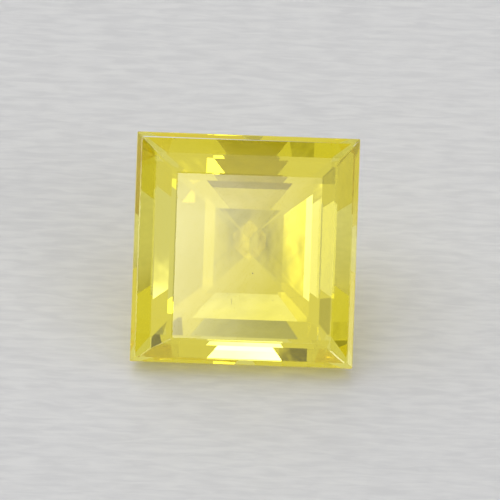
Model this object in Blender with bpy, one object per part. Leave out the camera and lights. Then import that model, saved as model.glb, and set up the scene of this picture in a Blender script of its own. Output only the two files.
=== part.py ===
"""A square step-cut sapphire, cut facet by facet from one crystal and laid down on its pavilion.

The stone is cut as a lapidary cuts it. A block of the crystal is ground to the girdle's outline, then each tier
of facets takes one flat slope off each of the four sides, working in from the girdle, and the table finishes
it. While it is cut, the table faces +Z and the girdle's middle plane is z = 0. The finished stone is then
turned onto the facet that it rests on, which comes to lie on z = 0 with the table leaning towards -Y.

Every tier has one slope and one edge all round. Each side then departs from that by the little that hand
cutting leaves: a degree or so of slope, and a few hundredths of a millimetre in where the edges lie.

Sizes are in metres and slopes in degrees from the girdle's plane.
"""

from dataclasses import dataclass
from math import cos, radians, sin, tan

import bmesh
import bpy
from mathutils import Vector

STONE_NAME = "sapphire"

# The four sides, in the order in which every set of four values below gives them
RIGHT, BACK, LEFT, FRONT = range(4)
SIDE_DIRECTIONS = (Vector((1, 0, 0)), Vector((0, 1, 0)), Vector((-1, 0, 0)), Vector((0, -1, 0)))

# Girdle: the stone's widest outline, measured from its axis to each side, and the thin upright band round it
GIRDLE_REACH = (2.50e-3, 2.57e-3, 2.48e-3, 2.57e-3)
GIRDLE_THICKNESS = 0.27e-3

# Table: its height over the girdle's middle plane
TABLE_HEIGHT = 0.40e-3


@dataclass(frozen=True)
class Tier:
    """One step of the cut all round the stone: its slope, and where its inner edge lies."""

    slope: float
    inner_edge: float = 0.0


# Crown, from the girdle up. The inner edges are measured in from the girdle, and the last tier runs on until
# the table cuts it off
CROWN_TIERS = (Tier(40.0, 0.12e-3), Tier(15.0, 0.52e-3), Tier(10.0))

# Pavilion, from the girdle down to the point. The inner edges are measured out from the stone's axis
PAVILION_OUTER = Tier(55.0, 1.93e-3)
PAVILION_UPPER = Tier(52.0, 1.54e-3)
PAVILION_LOWER = Tier(48.5, 0.91e-3)
PAVILION_POINT = Tier(45.5)
PAVILION_TIERS = (PAVILION_OUTER, PAVILION_UPPER, PAVILION_LOWER, PAVILION_POINT)

# How much steeper each side's crown and pavilion came out than the tiers' slopes
CROWN_LEAN = (0.5, 0.5, 0.0, 4.0)
PAVILION_LEAN = (1.0, 1.0, -0.5, 0.5)

# Each side's crown facets as a share of the tiers' width, and how far out its pavilion edges are shifted
CROWN_WIDTH_SHARE = (1.00, 0.88, 0.88, 1.02)
PAVILION_SHIFT = (-0.05e-3, -0.03e-3, 0.01e-3, 0.05e-3)

# The facet that the stone lies on
RESTING_TIER = PAVILION_LOWER
RESTING_SIDE = FRONT

# The block that the stone is cut from, well clear of the finished outline
BLOCK_SIDE = 10e-3

# Points closer than this to a cutting plane count as lying on it
CUT_TOLERANCE = 1e-9


def grind(stone, point, normal):
    """Take off everything outside the plane through the point, and close the stone with one flat facet."""
    everything = stone.verts[:] + stone.edges[:] + stone.faces[:]
    cut = bmesh.ops.bisect_plane(
        stone,
        geom=everything,
        dist=CUT_TOLERANCE,
        plane_co=point,
        plane_no=normal,
        clear_outer=True,
    )
    rim = [edge for edge in cut["geom_cut"] if isinstance(edge, bmesh.types.BMEdge)]
    bmesh.ops.contextual_create(stone, geom=rim)


def facet_normal(side, slope, up):
    """Outward normal of a facet: level with its side at 90 degrees, straight up or down at 0."""
    return SIDE_DIRECTIONS[side] * sin(radians(slope)) + Vector((0, 0, up * cos(radians(slope))))


def crown_facets(side):
    """Slope and inner reach from the axis of each crown facet on a side."""
    for tier in CROWN_TIERS:
        reach = GIRDLE_REACH[side] - tier.inner_edge * CROWN_WIDTH_SHARE[side]
        yield tier.slope + CROWN_LEAN[side], reach


def pavilion_facets(side):
    """Slope and inner reach from the axis of each pavilion facet on a side."""
    for tier in PAVILION_TIERS:
        yield tier.slope + PAVILION_LEAN[side], tier.inner_edge + PAVILION_SHIFT[side]


def grind_side(stone, side, facets, up):
    """Cut one side of the crown (up = 1) or the pavilion (up = -1), each facet from the edge the last one left."""
    reach = GIRDLE_REACH[side]
    height = up * GIRDLE_THICKNESS / 2
    for slope, inner_reach in facets:
        edge = SIDE_DIRECTIONS[side] * reach + Vector((0, 0, height))
        grind(stone, edge, facet_normal(side, slope, up))
        height += up * (reach - inner_reach) * tan(radians(slope))
        reach = inner_reach


def cut_stone():
    """Return the finished stone as a bmesh, with the table facing +Z."""
    stone = bmesh.new()
    bmesh.ops.create_cube(stone, size=BLOCK_SIDE)
    for side, direction in enumerate(SIDE_DIRECTIONS):
        grind(stone, direction * GIRDLE_REACH[side], direction)
    for side in range(4):
        grind_side(stone, side, pavilion_facets(side), -1)
        grind_side(stone, side, crown_facets(side), 1)
    grind(stone, Vector((0, 0, TABLE_HEIGHT)), Vector((0, 0, 1)))
    bmesh.ops.dissolve_degenerate(stone, dist=CUT_TOLERANCE, edges=stone.edges[:])
    bmesh.ops.recalc_face_normals(stone, faces=stone.faces[:])
    return stone


def lay_down(stone):
    """Turn the stone onto its resting facet and centre it over the origin, with that facet on z = 0."""
    down = facet_normal(RESTING_SIDE, RESTING_TIER.slope + PAVILION_LEAN[RESTING_SIDE], -1)
    turn = down.rotation_difference(Vector((0, 0, -1))).to_matrix()
    bmesh.ops.rotate(stone, cent=(0, 0, 0), matrix=turn, verts=stone.verts[:])
    low = [min(vertex.co[axis] for vertex in stone.verts) for axis in range(3)]
    high = [max(vertex.co[axis] for vertex in stone.verts) for axis in range(3)]
    shift = Vector((-(low[0] + high[0]) / 2, -(low[1] + high[1]) / 2, -low[2]))
    bmesh.ops.translate(stone, vec=shift, verts=stone.verts[:])


def sapphire_material():
    """Clear lemon-yellow sapphire with a high polish."""
    material = bpy.data.materials.new("yellow_sapphire")
    material.use_nodes = True
    shader = material.node_tree.nodes["Principled BSDF"]
    shader.inputs["Base Color"].default_value = (0.85, 0.72, 0.16, 1.0)
    shader.inputs["Metallic"].default_value = 0.0
    shader.inputs["Roughness"].default_value = 0.02
    shader.inputs["IOR"].default_value = 1.77
    shader.inputs["Transmission Weight"].default_value = 1.0
    return material


def clear_scene():
    """Remove every object that the scene holds."""
    for scene_object in list(bpy.data.objects):
        bpy.data.objects.remove(scene_object, do_unlink=True)


def main():
    """Build the stone as one object in a collection of its own."""
    clear_scene()
    collection = bpy.data.collections.new("square_cut_sapphire")
    bpy.context.scene.collection.children.link(collection)
    stone = cut_stone()
    lay_down(stone)
    mesh = bpy.data.meshes.new(STONE_NAME)
    stone.to_mesh(mesh)
    stone.free()
    sapphire = bpy.data.objects.new(STONE_NAME, mesh)
    sapphire.data.materials.append(sapphire_material())
    collection.objects.link(sapphire)


main()
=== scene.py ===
"""Looks of the square cut sapphire: one clear yellow stone on a pale sheet, under a plain studio dome.

The stone rests on one facet of its pavilion, so its table leans towards the camera, which looks straight at
it through a long lens from about 43 degrees up. All that gives the stone its look is light that enters it,
turns round on the pavilion's facets and comes back through the crown, so its facets, its depth of colour and
the bright and dark places of the dome matter together. A window behind it gives the sheet its soft shadow.

Lengths are in metres and angles in degrees, unless a name says otherwise.
"""

import logging
from dataclasses import dataclass
from enum import Enum
from math import cos, radians, sin, tan

import bmesh
import bpy
import numpy as np
from mathutils import Matrix, Vector


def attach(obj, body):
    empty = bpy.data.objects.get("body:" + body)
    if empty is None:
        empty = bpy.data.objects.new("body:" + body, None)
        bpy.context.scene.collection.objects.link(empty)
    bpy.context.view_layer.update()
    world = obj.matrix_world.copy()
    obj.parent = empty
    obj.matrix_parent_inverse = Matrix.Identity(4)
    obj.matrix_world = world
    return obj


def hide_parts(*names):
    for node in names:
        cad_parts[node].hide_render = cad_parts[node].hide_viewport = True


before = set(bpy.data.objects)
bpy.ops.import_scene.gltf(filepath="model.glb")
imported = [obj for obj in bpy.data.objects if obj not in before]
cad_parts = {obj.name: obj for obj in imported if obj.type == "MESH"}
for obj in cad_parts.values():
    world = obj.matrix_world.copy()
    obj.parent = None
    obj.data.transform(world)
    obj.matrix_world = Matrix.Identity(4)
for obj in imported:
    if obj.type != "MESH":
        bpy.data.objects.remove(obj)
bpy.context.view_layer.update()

LOG = logging.getLogger("square_cut_sapphire")

MM = 1e-3
STONE_NODE = "sapphire"
BODY = "root"

# How often light may turn round in the stone, and how often it may pass between the sheet and the dome
TURNS_IN_THE_STONE = 64
TURNS_ON_THE_SHEET = 4


def linear(code: str) -> tuple[float, float, float, float]:
    """Turn an sRGB hex colour into the linear colour that Blender's sockets hold.

    Args:
        code: the colour as six hex digits after a #.

    Returns:
        Red, green, blue and an alpha of 1.
    """
    parts = (int(code[at : at + 2], 16) / 255 for at in (1, 3, 5))
    red, green, blue = (
        part / 12.92 if part <= 0.04045 else ((part + 0.055) / 1.055) ** 2.4 for part in parts
    )
    return red, green, blue, 1.0


def add_node(
    tree: bpy.types.NodeTree, kind: str, settings: dict | None = None, links: dict | None = None
) -> bpy.types.Node:
    """Add one node with its settings and its links.

    Args:
        tree: the node tree that takes it.
        kind: Blender's name of the node's type.
        settings: values by name, for a property of the node or else for an input socket.
        links: output sockets by the name or number of the input that each one feeds.

    Returns:
        The new node.
    """
    node = tree.nodes.new(kind)
    for name, value in (settings or {}).items():
        if isinstance(name, str) and hasattr(node, name):
            setattr(node, name, value)
        else:
            node.inputs[name].default_value = value
    for name, source in (links or {}).items():
        tree.links.new(source, node.inputs[name])
    return node


def new_material(name: str) -> tuple[bpy.types.Material, bpy.types.NodeTree, bpy.types.Node]:
    """Make an empty node material.

    Args:
        name: the material's name.

    Returns:
        The material, its node tree and its output node.
    """
    material = bpy.data.materials.new(name)
    material.use_nodes = True
    tree = material.node_tree
    tree.nodes.clear()
    return material, tree, add_node(tree, "ShaderNodeOutputMaterial")


def heading(azimuth: float, elevation: float) -> Vector:
    """Direction from the stone towards a place round it: azimuth 0 is the front, -Y, and 90 the right, +X."""
    level = cos(radians(elevation))
    return Vector((sin(radians(azimuth)) * level, -cos(radians(azimuth)) * level, sin(radians(elevation))))


@dataclass(frozen=True)
class YellowSapphire:
    """Corundum coloured yellow by a trace of iron, cut and polished on a lap.

    The eye gets a hard, glassy shine, bright edges and a colour that deepens with the way that the light goes
    through the stone: pale lemon straight through the middle, golden where it turns round at the rim. The lap
    leaves a ripple of less than a thousandth of a millimetre, which bends what the facets show a little.
    """

    ior: float = 1.768
    polish: float = 0.0
    pass_colour: str = "#FFFB7C"
    depth_of_colour: float = 500.0
    ripple_height: float = 0.0006 * MM
    ripple_width: float = 0.9 * MM

    def material(self) -> bpy.types.Material:
        """Build the crystal: a clear shell for the surface, and even absorption for what is under it.

        Returns:
            The finished material.
        """
        material, tree, output = new_material("yellow_sapphire")
        place = add_node(tree, "ShaderNodeTexCoord")
        ripple = add_node(
            tree,
            "ShaderNodeTexNoise",
            {"Scale": 1 / self.ripple_width, "Detail": 2.0, "Roughness": 0.4},
            {"Vector": place.outputs["Object"]},
        )
        lap_mark = add_node(
            tree,
            "ShaderNodeBump",
            {"Strength": 1.0, "Distance": self.ripple_height},
            {"Height": ripple.outputs["Fac"]},
        )
        surface = add_node(
            tree,
            "ShaderNodeBsdfPrincipled",
            {
                "Base Color": (1.0, 1.0, 1.0, 1.0),
                "Metallic": 0.0,
                "Roughness": self.polish,
                "IOR": self.ior,
                "Transmission Weight": 1.0,
            },
            {"Normal": lap_mark.outputs["Normal"]},
        )
        inside = add_node(
            tree,
            "ShaderNodeVolumeAbsorption",
            {"Color": linear(self.pass_colour), "Density": self.depth_of_colour},
        )
        tree.links.new(surface.outputs["BSDF"], output.inputs["Surface"])
        tree.links.new(inside.outputs["Volume"], output.inputs["Volume"])
        return material


@dataclass(frozen=True)
class SatinSheet:
    """Pale grey satin-coated paper.

    The eye gets an even grey with fine level fibres and no shine to speak of. The fibres are drawn several
    times as thick as paper's own, so that they show in a picture a centimetre wide.
    """

    tone: str = "#D4D4D4"
    fibre_tone: str = "#CACACB"
    fibre_length: float = 0.9 * MM
    fibre_width: float = 0.16 * MM
    fibre_blur: float = 0.36
    roughness: float = 0.75

    def material(self) -> bpy.types.Material:
        """Build the paper, with its faint fibres lying along X.

        Returns:
            The finished material.
        """
        material, tree, output = new_material("satin_coated_paper")
        place = add_node(tree, "ShaderNodeTexCoord")
        stretch = add_node(
            tree,
            "ShaderNodeMapping",
            {"Scale": (1 / self.fibre_length, 1 / self.fibre_width, 1.0)},
            {"Vector": place.outputs["Object"]},
        )
        matted = add_node(
            tree,
            "ShaderNodeTexNoise",
            {"Scale": 1.0, "Detail": 3.0, "Roughness": 0.55, "Distortion": 0.4},
            {"Vector": stretch.outputs["Vector"]},
        )
        fibres = add_node(
            tree,
            "ShaderNodeMapRange",
            {"From Min": self.fibre_blur, "From Max": 1 - self.fibre_blur},
            {"Value": matted.outputs["Fac"]},
        )
        tone = add_node(
            tree,
            "ShaderNodeMix",
            {"data_type": "RGBA", 6: linear(self.fibre_tone), 7: linear(self.tone)},
            {"Factor": fibres.outputs["Result"]},
        )
        surface = add_node(
            tree,
            "ShaderNodeBsdfPrincipled",
            {"Roughness": self.roughness},
            {"Base Color": tone.outputs[2]},
        )
        tree.links.new(surface.outputs["BSDF"], output.inputs["Surface"])
        return material


@dataclass
class CutStone:
    """The stone itself: the modelled solid, with the edges of crown and girdle broken by a hair's breadth.

    The flat angle is how far two triangles may bend and still be one facet. The lean is how far below the
    table's plane, as a sine, a facet may look and still belong to the girdle.
    """

    edge_width: float = 0.015 * MM
    weld: float = 0.0001 * MM
    flat: float = 0.1
    lean: float = 0.1

    def facets(self, node: bpy.types.Object) -> bpy.types.Mesh:
        """Copy a solid's mesh and turn its loose triangles into whole flat facets with broken edges.

        Corners that round to the same multiple of the weld distance become one point, and triangles that
        share an edge and a plane become one face.

        Args:
            node: the modelled solid.

        Returns:
            A new closed mesh.
        """
        source = node.data
        corners = np.empty(len(source.vertices) * 3)
        source.vertices.foreach_get("co", corners)
        turns = np.empty(len(source.loops), dtype=np.int64)
        source.loops.foreach_get("vertex_index", turns)
        grid, which = np.unique(np.round(corners.reshape(-1, 3) / self.weld), axis=0, return_inverse=True)
        triangles = which.reshape(-1)[turns].reshape(-1, 3)
        mesh = bpy.data.meshes.new("cut_sapphire")
        mesh.from_pydata(grid * self.weld, [], triangles)
        solid = bmesh.new()
        solid.from_mesh(mesh)
        bmesh.ops.dissolve_limit(
            solid, angle_limit=radians(self.flat), verts=solid.verts[:], edges=solid.edges[:]
        )
        self.break_edges(solid)
        solid.to_mesh(mesh)
        solid.free()
        return mesh

    def break_edges(self, solid: bmesh.types.BMesh) -> None:
        """Take the sharpness off every edge beside a crown or girdle facet. The pavilion's own stay keen.

        Args:
            solid: the stone with one face per facet, changed in place.
        """
        table = max(solid.faces, key=lambda facet: facet.calc_area()).normal.copy()
        worn = [
            edge
            for edge in solid.edges
            if max(facet.normal.dot(table) for facet in edge.link_faces) > -self.lean
        ]
        bmesh.ops.bevel(
            solid, geom=worn, offset=self.edge_width, segments=1, affect="EDGES", clamp_overlap=False
        )

    def build(self, material: bpy.types.Material) -> bpy.types.Object:
        """Make the shown stone, put it on its body and let it stand for the modelled solid.

        Args:
            material: the crystal.

        Returns:
            The stone.
        """
        stone = bpy.data.objects.new("cut_sapphire", self.facets(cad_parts[STONE_NODE]))
        bpy.context.scene.collection.objects.link(stone)
        stone.data.materials.append(material)
        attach(stone, BODY)
        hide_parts(STONE_NODE)
        return stone


@dataclass(frozen=True)
class Rutile:
    """Brown-black mineral grown into the crystal. The eye gets tiny dark specks under the table."""

    tone: str = "#3B3014"
    roughness: float = 0.4
    ior: float = 2.6

    def material(self) -> bpy.types.Material:
        """Build the dark, slightly shiny mineral.

        Returns:
            The finished material.
        """
        material, tree, output = new_material("rutile_inclusion")
        surface = add_node(
            tree,
            "ShaderNodeBsdfPrincipled",
            {"Base Color": linear(self.tone), "Roughness": self.roughness, "IOR": self.ior},
        )
        tree.links.new(surface.outputs["BSDF"], output.inputs["Surface"])
        return material


@dataclass(frozen=True)
class Speck:
    """One inclusion: how far right and up of the table's middle it shows, and its thickness and length."""

    right: float
    up: float
    thickness: float
    length: float


@dataclass
class Inclusions:
    """The few natural specks that show under the table, the only marks inside the stone."""

    depth: float = 0.25 * MM
    sides: int = 8
    rings: int = 7
    tip: float = 0.02
    specks: tuple[Speck, ...] = (
        Speck(0.13 * MM, -0.35 * MM, 0.028 * MM, 0.030 * MM),
        Speck(-0.32 * MM, -0.99 * MM, 0.009 * MM, 0.160 * MM),
        Speck(-0.42 * MM, -0.82 * MM, 0.010 * MM, 0.030 * MM),
        Speck(0.60 * MM, -0.94 * MM, 0.010 * MM, 0.030 * MM),
    )

    def spindle(self, speck: Speck) -> np.ndarray:
        """Work out one speck's rings of points, nearly pointed at both ends.

        The rings are spread over half a turn, but for a tip at each end. A ring at the angle a is at minus
        the half length times cos a, and has the half thickness times sin a as its radius.

        Args:
            speck: the speck.

        Returns:
            Points right, up and out of the table from the speck's middle, ring after ring.
        """
        along = np.linspace(self.tip, 1 - self.tip, self.rings)[:, None] * np.pi
        around = np.linspace(0, 2 * np.pi, self.sides, endpoint=False)[None, :]
        radius = np.sin(along) * speck.thickness / 2
        level = -np.cos(along) * speck.length / 2 + 0 * around
        return np.stack([radius * np.cos(around), level, radius * np.sin(around)], axis=-1).reshape(-1, 3)

    def skin(self) -> list[tuple[int, ...]]:
        """List the faces that close one spindle: squares between its rings, and one cap at each end.

        Returns:
            The faces, as numbers of the spindle's points.
        """
        last = self.sides * (self.rings - 1)
        faces = [tuple(range(self.sides)), tuple(reversed(range(last, last + self.sides)))]
        for ring in range(self.rings - 1):
            for side in range(self.sides):
                here, beside = ring * self.sides + side, ring * self.sides + (side + 1) % self.sides
                faces.append((here, here + self.sides, beside + self.sides, beside))
        return faces

    def build(self, stone: bpy.types.Object, material: bpy.types.Material) -> bpy.types.Object:
        """Set the specks into the stone just under its table, which is its largest facet.

        Args:
            stone: the shown stone.
            material: the mineral.

        Returns:
            All the specks, as one piece.
        """
        table = max(stone.data.polygons, key=lambda facet: facet.area)
        out = table.normal.normalized()
        right = Vector((1, 0, 0))
        up = out.cross(right).normalized()
        axes = np.array([right, up, out])
        points, faces = [], []
        for speck in self.specks:
            middle = np.array(table.center + right * speck.right + up * speck.up - out * self.depth)
            start = len(points) * self.sides * self.rings
            points.append(self.spindle(speck) @ axes + middle)
            faces += [tuple(start + corner for corner in face) for face in self.skin()]
        mesh = bpy.data.meshes.new("inclusions")
        mesh.from_pydata(np.concatenate(points), [], faces)
        mesh.materials.append(material)
        specks = bpy.data.objects.new("inclusions", mesh)
        bpy.context.scene.collection.objects.link(specks)
        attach(specks, BODY)
        return specks


@dataclass
class PaperSweep:
    """The sheet that the stone lies on: flat, and large enough that no view reaches its edge."""

    reach: float = 1.0
    drop: float = 0.0005 * MM

    def build(self, material: bpy.types.Material) -> bpy.types.Object:
        """Lay the sheet just under the resting facet.

        Args:
            material: the paper.

        Returns:
            The sheet.
        """
        corners = np.array([[-1, -1, 0], [1, -1, 0], [1, 1, 0], [-1, 1, 0]]) * self.reach
        mesh = bpy.data.meshes.new("paper_sheet")
        mesh.from_pydata(corners - (0, 0, self.drop), [], [(0, 1, 2, 3)])
        sheet = bpy.data.objects.new("paper_sheet", mesh)
        sheet.data.materials.append(material)
        bpy.context.scene.collection.objects.link(sheet)
        return sheet


class Light(Enum):
    """What a panel does to the even light of the dome round it."""

    LAMP = 1.0
    FLAG = -1.0


@dataclass(frozen=True)
class Panel:
    """One flat, soft-edged panel on the dome, square to the stone.

    A lamp adds light, and a flag holds it back. The width and the height are angles, as seen from the stone.
    """

    name: str
    light: Light
    azimuth: float
    elevation: float
    width: float
    height: float
    strength: float
    turn: float = 0.0

    def axes(self) -> tuple[Vector, Vector, Vector]:
        """Work out where the panel lies and how it is turned.

        Returns:
            The directions from the stone to the panel, along its width and up its height.
        """
        towards = heading(self.azimuth, self.elevation)
        level = Vector((cos(radians(self.azimuth)), sin(radians(self.azimuth)), 0))
        upright = towards.cross(level)
        upright *= -1 if upright.z < 0 else 1
        along = level * cos(radians(self.turn)) + upright * sin(radians(self.turn))
        return towards, along, upright * cos(radians(self.turn)) - level * sin(radians(self.turn))


@dataclass
class StudioDome:
    """An even grey dome of light, a little brighter overhead, with small lamps and flags set on it.

    Nobody sees the panels themselves. Each one shows as the facets that turn its direction to the camera,
    which come up bright for a lamp and deep for a flag. The grazing value keeps a direction that lies beside
    or behind a panel from being divided by nothing.
    """

    level: float = 0.66
    rise: float = 0.04
    soft_edge: float = 1.5
    grazing: float = 1e-3
    panels: tuple[Panel, ...] = (
        # Round the lens: a white veil over the table, and the frames that hold the middle of the stone down
        Panel("lamp_at_the_lens", Light.LAMP, -2, 39, 2.5, 2.5, 3.8, 65),
        Panel("lens_frame_left", Light.FLAG, -10, 39, 4.5, 5.0, 0.6, -15),
        Panel("lens_frame_right", Light.FLAG, 10, 41, 4.0, 5.0, 1.2, -5),
        Panel("camera_arm", Light.FLAG, -8, 49, 9.0, 7.5, 0.6, 65),
        Panel("strip_right_of_the_lens", Light.LAMP, 19, 41, 3.5, 5.5, 2.5, -25),
        Panel("strip_left_of_the_lens", Light.LAMP, -20, 37, 6.0, 8.0, 0.09),
        Panel("shade_left_of_the_lens", Light.FLAG, -33, 34, 6.0, 6.0, 0.07),
        Panel("clip_left_of_the_lens", Light.FLAG, -37, 33, 2.0, 3.0, 1.8, 5),
        # Low in front
        Panel("spot_low_right", Light.LAMP, 16, 15, 5.5, 6.0, 4.0, -5),
        Panel("fill_low_left", Light.LAMP, -17, 20, 9.5, 9.5, 0.6, 25),
        Panel("shade_low_right", Light.FLAG, 23, 6, 7.5, 7.0, 0.3, 10),
        # To the right: the large softbox, and a narrow strip at the level of the sheet
        Panel("softbox_right", Light.LAMP, 54, 32, 17.5, 20.5, 2.7, 5),
        Panel("softbox_mount", Light.FLAG, 41, 32, 5.0, 2.5, 1.5, 40),
        Panel("strip_right", Light.LAMP, 84, 0, 2.5, 6.0, 7.1, 40),
        # To the left
        Panel("window_left", Light.LAMP, -63, 22, 5.0, 4.5, 1.8, -10),
        Panel("fill_left", Light.LAMP, -80, 11, 10.0, 9.5, 0.4, 15),
        Panel("strip_high_left", Light.LAMP, -27, 55, 3.0, 7.0, 1.2, 35),
        Panel("shade_low_left", Light.FLAG, -58, 1, 3.0, 5.5, 1.2, -60),
        Panel("clip_left", Light.FLAG, -86, 32, 2.5, 3.0, 0.4),
        # Behind the stone
        Panel("window_behind", Light.LAMP, 180, 34, 6.0, 4.5, 5.3, 45),
        Panel("pane_over_the_window", Light.LAMP, 179, 42, 2.0, 2.0, 4.3, 5),
        Panel("curtain_rail_behind", Light.FLAG, 176, 58, 8.0, 2.0, 0.6, 75),
        # Overhead
        Panel("skylight", Light.LAMP, 38, 86, 10.0, 9.5, 0.5, 20),
        Panel("boom_in_front", Light.FLAG, -3, 73, 4.0, 3.5, 1.3, -10),
        Panel("boom_front_right", Light.FLAG, 53, 72, 6.5, 6.0, 0.25),
        Panel("boom_right", Light.FLAG, 98, 56, 2.0, 3.0, 0.7),
        Panel("boom_back_right", Light.FLAG, 113, 64, 5.5, 6.0, 0.4),
    )

    def panel_light(
        self, tree: bpy.types.NodeTree, direction: bpy.types.NodeSocket, panel: Panel
    ) -> bpy.types.NodeSocket:
        """Work out the light that one panel adds in a direction.

        A direction's slope from the panel's middle, sideways and upwards, is divided by the slope of the
        panel's own edge. The larger of the two is 1 on the edge, and the light steps down smoothly there.

        Args:
            tree: the dome's node tree.
            direction: the direction from the stone.
            panel: the panel.

        Returns:
            The added light's socket, negative for a flag.
        """
        towards, along, upright = panel.axes()
        axes = (towards, along / tan(radians(panel.width / 2)), upright / tan(radians(panel.height / 2)))
        ahead, across, up = (
            add_node(
                tree, "ShaderNodeVectorMath", {"operation": "DOT_PRODUCT", 1: axis}, {0: direction}
            ).outputs["Value"]
            for axis in axes
        )
        sizes = [
            add_node(tree, "ShaderNodeMath", {"operation": "ABSOLUTE"}, {0: part}).outputs[0]
            for part in (across, up)
        ]
        larger = {"operation": "MAXIMUM"}
        reach = add_node(tree, "ShaderNodeMath", larger, {0: sizes[0], 1: sizes[1]}).outputs[0]
        before = add_node(tree, "ShaderNodeMath", larger | {1: self.grazing}, {0: ahead}).outputs[0]
        share = add_node(tree, "ShaderNodeMath", {"operation": "DIVIDE"}, {0: reach, 1: before}).outputs[0]
        edge = self.soft_edge / min(panel.width, panel.height)
        step = {
            "interpolation_type": "SMOOTHSTEP",
            "From Min": 1 + edge,
            "From Max": 1 - edge,
            "To Max": panel.light.value * panel.strength,
        }
        return add_node(tree, "ShaderNodeMapRange", step, {"Value": share}).outputs[0]

    def build(self) -> bpy.types.World:
        """Build the dome as the world's light. The camera itself sees it even, without the panels.

        Returns:
            The world.
        """
        world = bpy.data.worlds.new("studio_dome")
        bpy.context.scene.world = world
        world.use_nodes = True
        tree = world.node_tree
        tree.nodes.clear()
        direction = add_node(tree, "ShaderNodeTexCoord").outputs["Generated"]
        height = add_node(tree, "ShaderNodeSeparateXYZ", {}, {0: direction}).outputs["Z"]
        overhead = {"operation": "MULTIPLY_ADD", 1: self.rise, 2: self.level}
        light = add_node(tree, "ShaderNodeMath", overhead, {0: height}).outputs[0]
        for panel in self.panels:
            added = self.panel_light(tree, direction, panel)
            light = add_node(tree, "ShaderNodeMath", {"operation": "ADD"}, {0: light, 1: added}).outputs[0]
        no_less = {"operation": "MAXIMUM", 1: 0.0}
        held = add_node(tree, "ShaderNodeMath", no_less, {0: light}).outputs[0]
        seen = add_node(tree, "ShaderNodeLightPath").outputs["Is Camera Ray"]
        shown = {"data_type": "FLOAT", 3: self.level}
        strength = add_node(tree, "ShaderNodeMix", shown, {"Factor": seen, 2: held}).outputs[0]
        white = {"Color": (1.0, 1.0, 1.0, 1.0)}
        background = add_node(tree, "ShaderNodeBackground", white, {"Strength": strength})
        output = add_node(tree, "ShaderNodeOutputWorld", {}, {"Surface": background.outputs[0]})
        output.is_active_output = True
        LOG.info("dome: %d panels on a level of %.2f", len(self.panels), self.level)
        return world


@dataclass(frozen=True)
class WindowLight:
    """Light from a window, up behind the stone on its left. It gives the sheet a soft, neutral shadow."""

    azimuth: float = -128.0
    elevation: float = 48.0
    spread: float = 75.0
    strength: float = 1.0

    def build(self) -> bpy.types.Object:
        """Hang the light. Only the sheet takes it up, because the stone's polish shows the dome instead.

        Returns:
            The light.
        """
        data = bpy.data.lights.new("window_light", "SUN")
        data.energy = self.strength
        data.angle = radians(self.spread)
        data.cycles.use_multiple_importance_sampling = False
        light = bpy.data.objects.new("window_light", data)
        light.rotation_mode = "QUATERNION"
        light.rotation_quaternion = heading(self.azimuth, self.elevation).to_track_quat("Z", "Y")
        bpy.context.scene.collection.objects.link(light)
        LOG.info("window: %.0f degrees wide, %.0f degrees up", self.spread, self.elevation)
        return light


@dataclass
class CloseCamera:
    """A close-up camera, square to the table. It sees from a tenth of its distance to twenty times as far."""

    azimuth: float = 0.0
    elevation: float = 42.9
    roll: float = 2.0
    distance: float = 150 * MM
    nearest: float = 0.1
    farthest: float = 20.0
    lens_mm: float = 100.0
    picture_width: float = 11.19 * MM
    aim: tuple[float, float, float] = (0.113 * MM, -0.336 * MM, 2.187 * MM)

    def build(self) -> bpy.types.Object:
        """Place the camera so that the picture's middle looks at the aim point.

        Returns:
            The camera.
        """
        data = bpy.data.cameras.new("close_camera")
        data.lens = self.lens_mm
        data.sensor_width = self.lens_mm * self.picture_width / self.distance
        data.clip_start = self.distance * self.nearest
        data.clip_end = self.distance * self.farthest
        camera = bpy.data.objects.new("close_camera", data)
        bpy.context.scene.collection.objects.link(camera)
        back = heading(self.azimuth, self.elevation)
        turn = back.to_track_quat("Z", "Y").to_matrix() @ Matrix.Rotation(radians(self.roll), 3, "Z")
        camera.matrix_world = Matrix.Translation(Vector(self.aim) + back * self.distance) @ turn.to_4x4()
        bpy.context.scene.camera = camera
        LOG.info("camera: %.1f degrees up, %.0f mm away", self.elevation, self.distance / MM)
        return camera


def set_picture() -> None:
    """Let light turn round in the stone as often as it needs, and show the colours as they are."""
    scene = bpy.context.scene
    scene.view_settings.view_transform = "Standard"
    scene.view_settings.look = "None"
    cycles = scene.cycles
    cycles.max_bounces = TURNS_IN_THE_STONE
    cycles.transmission_bounces = TURNS_IN_THE_STONE
    cycles.glossy_bounces = TURNS_IN_THE_STONE
    cycles.diffuse_bounces = TURNS_ON_THE_SHEET
    cycles.caustics_reflective = True
    cycles.caustics_refractive = True
    cycles.blur_glossy = 0.0
    cycles.sample_clamp_indirect = 0.0
    cycles.sampling_pattern = "TABULATED_SOBOL"


def main() -> None:
    """Build the camera, the light, the sheet and the stone, and report each."""
    logging.basicConfig(level=logging.INFO, format="%(name)s: %(message)s")
    CloseCamera().build()
    StudioDome().build()
    WindowLight().build()
    sheet = PaperSweep().build(SatinSheet().material())
    LOG.info("sheet: %s, %d face", sheet.name, len(sheet.data.polygons))
    stone = CutStone().build(YellowSapphire().material())
    LOG.info("stone: %s, %d faces with its broken edges", stone.name, len(stone.data.polygons))
    specks = Inclusions().build(stone, Rutile().material())
    LOG.info("specks: %s, %d faces", specks.name, len(specks.data.polygons))
    set_picture()


if __name__ == "__main__":
    main()
